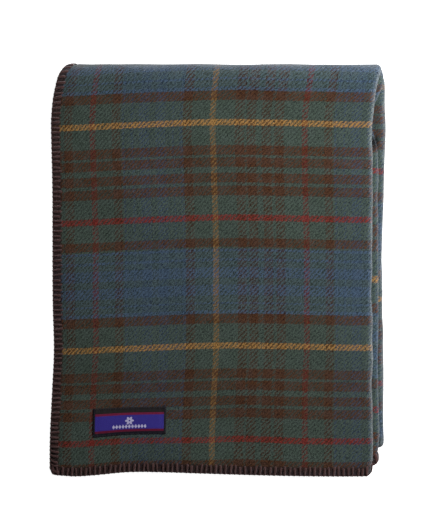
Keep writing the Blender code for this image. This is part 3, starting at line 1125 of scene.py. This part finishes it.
@dataclass
class Cloth:
    """The blanket's single woven cloth, folded into sixteen layers."""

    settle: Settle
    finish: bpy.types.Material
    stitched: tuple[float, float] = (0.009, 0.0115)
    hem_half: float = 0.0006
    rim: float = 0.0004
    rim_share: float = 0.3
    # Widths of the pale fuzz and painted sheen highlight on the side fold and on the rolls.
    fuzz_and_sheen_side: float = 0.0026
    fuzz_and_sheen_turn: float = 0.0086
    side_share: float = 0.85
    turn_share: float = 0.95
    side_crest: float = 0.40
    painted_shade_share: float = 1.6

    def inset(self, u: np.ndarray, v: np.ndarray) -> np.ndarray:
        """Say how far in from the nearest hem a place is."""
        plan = self.settle.plan
        return np.minimum(np.minimum(u, plan.width - u), np.minimum(v, plan.length - v))

    def half_thickness(self, u: np.ndarray, v: np.ndarray) -> np.ndarray:
        """Say how far each face of the cloth is from its middle.

        Args:
            u: Across the cloth.
            v: Along the cloth.

        Returns:
            Half the thickness: full inside, pressed under the stitching, round at the hem.
        """
        plan = self.settle.plan
        inside = self.inset(u, v)
        body = self.hem_half + (plan.thick / 2 - self.hem_half) * smooth_step(inside, *self.stitched)
        closing = np.clip(inside / self.rim, 0.0, 1.0)
        return body * (self.rim_share + (1 - self.rim_share) * np.sqrt(1 - (1 - closing) ** 2))

    def fuzz_and_painted_light(self, u: np.ndarray, v: np.ndarray) -> np.ndarray:
        """Say how much pale fuzz lies where the cloth turns over: partly raised nap, partly a painted sheen
        highlight.

        Args:
            u: Across the cloth.
            v: Along the cloth.

        Returns:
            The share of pale fuzz and painted sheen, 0 to 1.
        """
        plan = self.settle.plan
        fold, fold_end = plan.side_folds[0]
        side = np.exp(-(((u - fold - self.side_crest * (fold_end - fold)) / self.fuzz_and_sheen_side) ** 2))
        turns = [np.exp(-(((v - (start + end) / 2) / self.fuzz_and_sheen_turn) ** 2)) for start, end in plan.rolls[:2]]
        return np.maximum(self.side_share * side, self.turn_share * np.maximum(*turns))

    def lines(self) -> tuple[np.ndarray, np.ndarray]:
        """Place the mesh lines: close on the front, over the folds and along the hems.

        Returns:
            The lines across and the lines along.
        """
        plan = self.settle.plan
        hem_in, fine, wide = 0.012, 0.0056, 0.028
        hem = [(0.0, 0.0008, 0.0004), (0.0008, hem_in, 0.0028)]
        across = hem.copy()
        reached = hem_in
        leads, run_steps, fold_steps = (hem_in, 0.008, 0.008), (fine, wide, wide), (0.0014, 0.0009, 0.0009)
        folds = zip(plan.side_folds, leads, run_steps, fold_steps, strict=True)
        for (start, end), lead, run_step, fold_step in folds:
            across += [(reached, start - lead, run_step), (start - lead, start, 0.004)]
            across += [(start, end, fold_step), (end, end + lead, 0.004)]
            reached = end + lead
        across.append((reached, plan.width - hem_in, wide))
        across += [(plan.width - end, plan.width - start, step) for start, end, step in reversed(hem)]
        outer, low, inner = plan.rolls
        along = hem + [
            (hem_in, outer[0], fine),
            (outer[0], outer[1], 0.0034),
            (outer[1], low[0] - 0.03, 0.021),
            (low[0] - 0.03, low[0], 0.006),
            (low[0], low[1], 0.0022),
            (low[1], low[1] + 0.03, 0.006),
            (low[1] + 0.03, inner[0] - 0.12, 0.021),
            (inner[0] - 0.12, inner[0], 0.006),
            (inner[0], inner[1], 0.0022),
            (inner[1], inner[1] + 0.12, 0.006),
            (inner[1] + 0.12, plan.length - 0.05, 0.021),
            (plan.length - 0.05, plan.length - hem_in, 0.007),
        ]
        along += [(plan.length - end, plan.length - start, step) for start, end, step in reversed(hem)]
        return spaced(across), spaced(along)

    def build(self) -> bpy.types.Object:
        """Build the cloth.

        Returns:
            The piece.
        """
        across, along = self.lines()
        rows, columns = len(along), len(across)
        u, v = np.meshgrid(across, along)
        u, v = u.ravel(), v.ravel()
        half = self.half_thickness(u, v)
        face = np.stack([u, v, half], axis=1)
        back = np.stack([u, v, -half], axis=1)
        flat = np.concatenate([face, back])
        row, column = np.meshgrid(np.arange(rows - 1), np.arange(columns - 1), indexing="ij")
        corner = row * columns + column
        top = np.stack([corner, corner + 1, corner + columns + 1, corner + columns], axis=-1).reshape(-1, 4)
        under = top[:, ::-1] + rows * columns
        walls = self.rim_quads(rows, columns)
        placed = self.settle.place(flat)
        # The painted shade of the opening is taken off the fuzz share, so the finish darkens the cloth there.
        fuzz_and_painted_light = self.fuzz_and_painted_light(flat[:, 0], flat[:, 1]) - self.painted_shade_share * self.settle.painted_shade(flat, placed)
        piece = make_piece(
            "blanket_cloth",
            placed,
            np.concatenate([top, under, walls]),
            self.settle.weave_place(flat),
            self.finish,
            np.column_stack([self.inset(flat[:, 0], flat[:, 1]), fuzz_and_painted_light]),
        )
        blend_along(piece, self.settle.plan.upper_share(flat[:, 1]))
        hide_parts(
            "cloth_front", "cloth_second", "cloth_back", "cloth_top_fold_outer", "cloth_top_fold_inner"
        )
        return piece

    @staticmethod
    def rim_quads(rows: int, columns: int) -> np.ndarray:
        """List the faces that close the cloth round its four hems.

        Args:
            rows: How many points along the cloth.
            columns: How many points across it.

        Returns:
            Rows of four corners.
        """
        first = np.arange(columns)
        last = first + (rows - 1) * columns
        left = np.arange(rows) * columns
        right = left + columns - 1
        loop = np.concatenate([first, right[1:], last[::-1][1:], left[::-1][1:]])
        below = loop + rows * columns
        return np.stack([loop[1:], loop[:-1], below[:-1], below[1:]], axis=-1)


class Hem(Enum):
    """The four hems, and the CAD nodes that each one's stitching stands for."""

    LEFT = "left_edge"
    RIGHT = "right_edge"
    OUTER_END = "outer_end"
    INNER_END = "inner_end"

    @property
    def long(self) -> bool:
        """Whether it runs along the cloth, and so crosses the top fold."""
        return self in (Hem.LEFT, Hem.RIGHT)

    @property
    def nodes(self) -> list[str]:
        """The CAD nodes of its stitching."""
        if not self.long:
            return [f"{self.value}_stitching"]
        stretches = ("front", "second", "back", "top_fold_outer", "top_fold_inner")
        return [f"{self.value}_stitching_{stretch}" for stretch in stretches]


@dataclass
class BlanketStitch:
    """Blanket stitch along one hem: a bar of yarn over the hem at each stitch, joined by a purl line."""

    settle: Settle
    finish: bpy.types.Material
    hem: Hem
    pitches: tuple[float, float] = (0.0053, 0.0052)
    depth: float = 0.0088
    half_wide: float = 0.00128
    half_thick: float = 0.00044
    middle_thick: float = 1.35
    proud: float = 0.0004
    cloth_half: float = 0.0006
    reaches: tuple[float, float] = (0.80, 1.10)
    widths: tuple[float, float] = (0.80, 1.18)
    lean: tuple[float, float] = (0.0004, 0.0003)
    wander: float = 0.00022
    purl: float = 0.00055
    purl_beat: float = 0.18
    purl_at: tuple[float, float] = (-0.0001, 0.0004)
    purl_rings: int = 4
    sides: int = 6

    @property
    def pitch(self) -> float:
        """How far apart the stitches are, on a long hem or on an end."""
        return self.pitches[0] if self.hem.long else self.pitches[1]

    def to_cloth(self, along: np.ndarray, inward: np.ndarray, w: np.ndarray) -> np.ndarray:
        """Turn hem coordinates into flat cloth coordinates.

        Args:
            along: Along the hem.
            inward: In from the hem.
            w: Through the cloth, positive on its face.

        Returns:
            Rows of (u, v, w).
        """
        plan = self.settle.plan
        ways = {
            Hem.LEFT: (inward, along),
            Hem.RIGHT: (plan.width - inward, along),
            Hem.OUTER_END: (along, inward),
            Hem.INNER_END: (along, plan.length - inward),
        }
        u, v = ways[self.hem]
        return np.stack([u, v, w], axis=-1)

    def bar_path(self) -> np.ndarray:
        """Trace a bar from the face, over the hem, to the back.

        Returns:
            Rows of (inward, w, half width, half thickness).
        """
        lift = self.cloth_half + self.half_thick * 0.8
        face = [
            (self.depth + 0.0006, 0.0002, 0.7),
            (self.depth, lift * 0.8, 0.9),
            (self.depth * 0.72, lift + self.proud, 1.0),
            (self.depth * 0.38, lift + self.proud, 1.0),
            (0.0010, lift + self.proud * 0.6, 1.0),
            (-0.0002, lift * 0.75, 0.95),
        ]
        nose = [(-0.0007, 0.0, 0.9)]
        back = [(inward, -w if w < lift else -lift, share) for inward, w, share in reversed(face)]
        path = np.array(face + nose + back)
        thick = np.full(len(path), self.half_thick)
        thick[1 : len(face)] *= self.middle_thick
        return np.column_stack([path[:, 0], path[:, 1], path[:, 2] * self.half_wide, thick])

    def bars(self, places: np.ndarray, chance: np.random.Generator) -> tuple[np.ndarray, np.ndarray]:
        """Build every bar.

        Args:
            places: Where along the hem the stitches are.
            chance: Draws the unevenness of hand work.

        Returns:
            Flat cloth points and quads.
        """
        path = self.bar_path()
        step = np.gradient(path[:, :2], axis=0)
        step /= np.linalg.norm(step, axis=1, keepdims=True)
        outward = np.column_stack([step[:, 1], -step[:, 0]])
        angle = np.arange(self.sides) * TURN / self.sides
        rings, sides, count = len(path), self.sides, len(places)
        reach = chance.uniform(*self.reaches, count)[:, None, None]
        lean = chance.normal(*self.lean, count)[:, None, None]
        width = chance.uniform(*self.widths, count)[:, None, None]
        side = (np.cos(angle)[None, :] * path[:, 2][:, None])[None]
        rise = (np.sin(angle)[None, :] * path[:, 3][:, None])[None]
        inward = path[:, 0][None, :, None] * np.ones((1, 1, sides)) + rise * outward[:, 0][None, :, None]
        w = path[:, 1][None, :, None] + rise * outward[:, 1][None, :, None]
        inward = np.where(inward > 0, inward * reach, inward)
        slant = lean * (inward / self.depth) * 2
        along = places[:, None, None] + side * width + slant
        w = np.broadcast_to(w, along.shape)
        inward = np.broadcast_to(inward, along.shape)
        points = self.to_cloth(along, inward, w).reshape(-1, 3)
        one = tube_quads(rings, sides)
        quads = (one[None] + (np.arange(count) * rings * sides)[:, None, None]).reshape(-1, 4)
        return points, quads

    def purl_line(self, length: float) -> tuple[np.ndarray, np.ndarray]:
        """Build the line of yarn that runs along the hem through the bars.

        Args:
            length: How long the hem is.

        Returns:
            Flat cloth points and quads.
        """
        count = round(length / self.pitch * self.purl_rings)
        along = np.linspace(self.cloth_half, length - self.cloth_half, count)
        beat = np.cos(along * (TURN / self.pitch))
        angle = np.arange(self.sides) * TURN / self.sides
        thick = self.purl * (1.0 + self.purl_beat * beat)[:, None]
        inward = self.purl_at[0] + np.cos(angle)[None, :] * thick
        w = self.purl_at[1] + np.sin(angle)[None, :] * thick
        points = self.to_cloth(along[:, None] * np.ones((1, self.sides)), inward, w).reshape(-1, 3)
        return points, tube_quads(count, self.sides)

    def build(self) -> bpy.types.Object:
        """Build the stitching of the hem.

        Returns:
            The piece.
        """
        plan = self.settle.plan
        length = plan.length if self.hem.long else plan.width
        chance = np.random.default_rng(len(self.hem.value))
        count = round(length / self.pitch)
        places = (np.arange(count) + 0.5) * (length / count) + chance.normal(0, self.wander, count)
        points, quads = self.bars(places, chance)
        line, line_quads = self.purl_line(length)
        flat = np.concatenate([points, line])
        faces = np.concatenate([quads, line_quads + len(points)])
        if self.hem in (Hem.LEFT, Hem.INNER_END):
            faces = faces[:, ::-1]
        placed = self.settle.place(flat)
        piece = make_piece(f"{self.hem.value}_stitches", placed, faces, flat[:, :2], self.finish)
        if self.hem.long:
            blend_along(piece, plan.upper_share(flat[:, 1]))
        else:
            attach(piece, UPPER)
        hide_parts(*self.hem.nodes)
        return piece


@dataclass
class Label:
    """The woven label sewn to the front near the hem, and its stitches."""

    settle: Settle
    weave: bpy.types.Material
    thread: bpy.types.Material
    width: float = 0.0788
    height: float = 0.0314
    from_left: float = 0.0862
    from_hem: float = 0.0567
    tilt: float = math.radians(1.2)
    thick: float = 0.0006
    turned_end: float = 0.0045
    turned_fade: float = 0.0006
    turned_rise: float = 0.0003
    crown: float = 0.0006
    crown_from: tuple[float, float] = (0.001, 0.008)
    pucker: float = 0.00022
    pucker_pitch: float = 0.0061
    pucker_in: float = 0.006
    rounding: float = 0.0006
    rim_share: float = 0.3
    under: float = -0.0001

    def to_cloth(self, x: np.ndarray, y: np.ndarray, w: np.ndarray) -> np.ndarray:
        """Turn label coordinates into flat cloth coordinates.

        Args:
            x: Across the label from its middle.
            y: Up the label from its middle.
            w: Above the cloth.

        Returns:
            Rows of (u, v, w).
        """
        cos, sin = math.cos(self.tilt), math.sin(self.tilt)
        u = self.from_left + x * cos - y * sin
        v = self.from_hem + x * sin + y * cos
        return np.stack([u, v, self.settle.plan.thick / 2 + w], axis=-1)

    def height_at(self, x: np.ndarray, y: np.ndarray) -> np.ndarray:
        """Say how high the label's face is above the cloth.

        Args:
            x: Across the label from its middle.
            y: Up the label from its middle.

        Returns:
            The height: pulled down at the stitches, proud where its ends are turned under.
        """
        side = self.width / 2 - np.abs(x)
        rim = self.height / 2 - np.abs(y)
        edge = np.minimum(side, rim)
        turned = 1 - smooth_step(side, self.turned_end - self.turned_fade, self.turned_end)
        crown = self.crown * smooth_step(edge, *self.crown_from)
        pucker = np.sin(x * TURN / self.pucker_pitch) * (1 - smooth_step(rim, 0.0, self.pucker_in))
        return self.thick + self.turned_rise * turned + crown + self.pucker * pucker

    def build_label(self) -> bpy.types.Object:
        """Build the label itself.

        Returns:
            The piece.
        """
        round_off = np.array([0.0, 0.00025, 0.0006, 0.0014])
        inner = np.linspace(-self.width / 2 + 0.003, self.width / 2 - 0.003, 42)
        xs = np.concatenate([-self.width / 2 + round_off, inner, self.width / 2 - round_off[::-1]])
        inner = np.linspace(-self.height / 2 + 0.003, self.height / 2 - 0.003, 16)
        ys = np.concatenate([-self.height / 2 + round_off, inner, self.height / 2 - round_off[::-1]])
        rows, columns = len(ys), len(xs)
        x, y = (grid.ravel() for grid in np.meshgrid(xs, ys))
        edge = np.minimum(self.width / 2 - np.abs(x), self.height / 2 - np.abs(y))
        full = np.sqrt(1 - (1 - np.clip(edge / self.rounding, 0, 1)) ** 2)
        face = self.height_at(x, y) * (self.rim_share + (1 - self.rim_share) * full)
        back = np.full(len(x), self.under)
        flat = np.concatenate([self.to_cloth(x, y, face), self.to_cloth(x, y, back)])
        row, column = np.meshgrid(np.arange(rows - 1), np.arange(columns - 1), indexing="ij")
        corner = row * columns + column
        top = np.stack([corner, corner + 1, corner + columns + 1, corner + columns], axis=-1).reshape(-1, 4)
        quads = np.concatenate([top, top[:, ::-1] + rows * columns, Cloth.rim_quads(rows, columns)])
        marks = np.tile(np.column_stack([x, y]), (2, 1))
        piece = make_piece("woven_label", self.settle.place(flat), quads, marks, self.weave)
        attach(piece, UPPER)
        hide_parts("label")
        return piece

    def build_stitches(self) -> bpy.types.Object:
        """Build the small stitches round the label.

        Returns:
            The piece.
        """
        inset, pitch, reach, radius, rings, sides = 0.0011, 0.0027, 0.0009, 0.00022, 5, 4
        arch_high, sunk = 0.00035, 0.0001
        starts = []
        for half_run, half_off, turned in (
            (self.width / 2 - inset, self.height / 2 - inset, False),
            (self.height / 2 - inset, self.width / 2 - inset, True),
        ):
            count = round(2 * half_run / pitch)
            for along in (np.arange(count) + 0.5) * (2 * half_run / count) - half_run:
                for side in (-1, 1):
                    starts.append((along, side * half_off, turned))
        angle = np.arange(sides) * TURN / sides
        sweep = np.linspace(-1, 1, rings)
        points, quads = [], []
        for along, off, turned in starts:
            run = along + sweep[:, None] * reach + np.zeros((1, sides))
            aside = off + np.cos(angle)[None, :] * radius + np.zeros((rings, 1))
            x, y = (aside, run) if turned else (run, aside)
            arch = (1 - sweep[:, None] ** 2) * arch_high - sunk
            w = self.height_at(x, y) + arch + np.sin(angle)[None, :] * radius
            faces = tube_quads(rings, sides)[:, :: (1 if turned else -1)]
            quads.append(faces + rings * sides * len(points))
            points.append(self.to_cloth(x, y, w).reshape(-1, 3))
        flat = np.concatenate(points)
        piece = make_piece(
            "label_stitches", self.settle.place(flat), np.concatenate(quads), flat[:, :2], self.thread
        )
        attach(piece, UPPER)
        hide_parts("label_stitching")
        return piece


@dataclass
class Nap:
    """Short loose hairs that stand up where the cloth turns over: on the rolls and down the side folds."""

    settle: Settle
    finish: bpy.types.Material
    hairs: int = 5600
    radius: float = 0.00007
    longest: float = 0.0042
    from_hem: float = 0.012
    beside: float = 0.001
    sunk: float = 0.0002
    length_bias: tuple[float, float] = (2.0, 2.6)
    curl: float = 0.8
    lift: tuple[float, float] = (0.25, 0.95)
    droop: float = 0.4
    taper: float = 0.55
    hidden_lost: float = 0.5
    sides: int = 4
    seed: int = 41

    def roots(self, chance: np.random.Generator) -> np.ndarray:
        """Scatter the hairs.

        Args:
            chance: Draws the places.

        Returns:
            Rows of (u, v).
        """
        plan = self.settle.plan
        fold, fold_end = plan.side_folds[0]
        outer, low, last = plan.rolls
        spread = (self.from_hem, fold_end)
        fold_at = (fold - self.beside, fold_end + self.beside)
        down = (self.from_hem, plan.length - self.from_hem)
        on_top = self.hairs // 4
        on_foot = on_top // 2
        count = self.hairs - on_top - on_foot
        top = np.column_stack([chance.uniform(*spread, on_top), chance.uniform(*outer, on_top)])
        foot = np.column_stack([chance.uniform(*spread, on_foot), chance.uniform(*low, on_foot)])
        side = np.column_stack([chance.uniform(*fold_at, count), chance.uniform(*down, count)])
        inside = (side[:, 1] > low[0]) & (side[:, 1] < last[1])
        hidden = inside & (chance.random(count) < self.hidden_lost)
        return np.concatenate([top, foot, side[~hidden]])

    def build(self) -> bpy.types.Object:
        """Build the hairs.

        Returns:
            The piece.
        """
        plan = self.settle.plan
        chance = np.random.default_rng(self.seed)
        roots = self.roots(chance)
        count = len(roots)
        length = self.longest * chance.beta(*self.length_bias, count)
        heading = chance.uniform(0, TURN, count)
        curl = chance.normal(0, self.curl, count)
        lift = chance.uniform(*self.lift, count)
        angle = (np.arange(self.sides) + 0.5) * TURN / self.sides
        rings = []
        for share in (0.0, 0.5, 1.0):
            way = heading + curl * share
            reach = length * share
            rise = length * lift * share * (1.2 - self.droop * share)
            thin = self.radius * (1.0 - self.taper * share)
            u = roots[:, 0] + reach * np.cos(way)
            v = roots[:, 1] + reach * np.sin(way)
            across = np.cos(angle)[None, :] * thin
            ring_u = u[:, None] - np.sin(way)[:, None] * across
            ring_v = v[:, None] + np.cos(way)[:, None] * across
            ring_w = (plan.thick / 2 - self.sunk + rise)[:, None] + np.sin(angle)[None, :] * thin
            rings.append(np.stack([ring_u, ring_v, ring_w], axis=-1))
        flat = np.stack(rings, axis=1).reshape(-1, 3)
        each = len(rings) * self.sides
        one = tube_quads(len(rings), self.sides)
        quads = (one[None] + (np.arange(count) * each)[:, None, None]).reshape(-1, 4)
        marks = self.settle.weave_place(flat)
        placed = self.settle.place(flat)
        piece = make_piece("blanket_nap", placed, quads, marks, self.finish)
        blend_along(piece, plan.upper_share(np.repeat(roots[:, 1], each)))
        return piece


@dataclass
class Studio:
    """A plain pale floor, soft light from the upper right, and a camera looking straight down."""

    height: float = 3.0
    seen_long: float = 0.5728
    sensor: float = 36.0
    face: float = 0.046
    middle: tuple[float, float] = (0.0009, 0.0037)
    floor_half: float = 30.0
    floor_below: float = 0.0002
    floor_clouds: float = 40.0
    sees_to: float = 100.0
    floor_pale: tuple[Colour, Colour] = (linear(196, 196, 196), linear(200, 200, 200))
    key_place: tuple[float, float, float] = (0.74, 0.49, 0.78)
    key_size: float = 0.5
    key_power: float = 22.0
    sky_light: float = 0.008
    wall_top: float = 0.14
    wall_fade: float = 0.05

    def floor(self) -> None:
        """Lay the floor."""
        bench = Bench("pale_floor")
        place = bench.wire(bench.node("ShaderNodeTexCoord", {}, {}), "Object")
        clouds = (self.floor_clouds, self.floor_clouds, 1.0)
        cloudy = bench.wire(bench.noise(bench.stretched(place, clouds), 2.0, 0.5))
        colour = bench.mix(cloudy, *self.floor_pale)
        finish = bench.finish(colour, 0.9, None, 0.0, Emission_Color=(1, 1, 1, 1), Emission_Strength=1.0)
        half = self.floor_half
        corners = np.array([(-half, -half, 0), (half, -half, 0), (half, half, 0), (-half, half, 0)])
        sheet = make_piece("floor", corners, np.array([[0, 1, 2, 3]]), corners[:, :2], finish)
        sheet.location.z = -self.floor_below

    def lamp(self, name: str, place: tuple[float, float, float], size: float, power: float) -> None:
        """Hang a soft square lamp that faces the middle of the blanket.

        Args:
            name: Its name.
            place: Where it hangs.
            size: Its side, in metres.
            power: Its power, in watts.
        """
        light = bpy.data.lights.new(name, "AREA")
        light.size = size
        light.energy = power
        lamp = bpy.data.objects.new(name, light)
        lamp.location = place
        towards = Vector((0.0, 0.0, self.face)) - Vector(place)
        lamp.rotation_euler = towards.to_track_quat("-Z", "Y").to_euler()
        bpy.context.scene.collection.objects.link(lamp)

    def sky(self, strength: float) -> None:
        """Fill the room with even light, and carry the pale floor on into a pale wall far off.

        Args:
            strength: How bright the even light is.
        """
        bench = Bench("room", bpy.data.worlds)
        _, _, up = bench.split(bench.wire(bench.node("ShaderNodeTexCoord", {}, {}), "Generated"))
        wall = ((self.wall_top - up) / self.wall_fade).held()
        inputs = {"Color": (1.0, 1.0, 1.0, 1.0), "Strength": wall + strength}
        light = bench.node("ShaderNodeBackground", {}, inputs)
        bench.node("ShaderNodeOutputWorld", {}, {"Surface": bench.wire(light)})
        bpy.context.scene.world = bench.owner

    def camera(self) -> None:
        """Set the camera above the blanket."""
        data = bpy.data.cameras.new("camera")
        data.sensor_width = self.sensor
        data.lens = self.sensor * self.height / self.seen_long
        data.clip_end = self.sees_to
        camera = bpy.data.objects.new("camera", data)
        camera.location = (*self.middle, self.face + self.height)
        bpy.context.scene.collection.objects.link(camera)
        bpy.context.scene.camera = camera

    def build(self) -> None:
        """Set up the floor, the lights and the camera."""
        bpy.context.scene.view_settings.view_transform = "Standard"
        self.floor()
        self.lamp("key", self.key_place, self.key_size, self.key_power)
        self.sky(self.sky_light)
        self.camera()


def main() -> None:
    """Build the blanket piece by piece."""
    logging.basicConfig(level=logging.INFO, format="%(message)s")
    settle = Settle(FoldPlan())
    wool = TartanWool().make()
    yarn = EdgeYarn().make()
    Studio().build()
    cloth = Cloth(settle, wool).build()
    LOG.info("%s: %d faces", cloth.name, len(cloth.data.polygons))
    sewn = [BlanketStitch(settle, yarn, hem).build() for hem in Hem]
    label = Label(settle, LabelWeave().make(), LabelThread().make())
    sewn += [label.build_label(), label.build_stitches(), Nap(settle, NapHair().make()).build()]
    for piece in sewn:
        LOG.info("%s: %d faces", piece.name, len(piece.data.polygons))


if __name__ == "__main__":
    main()
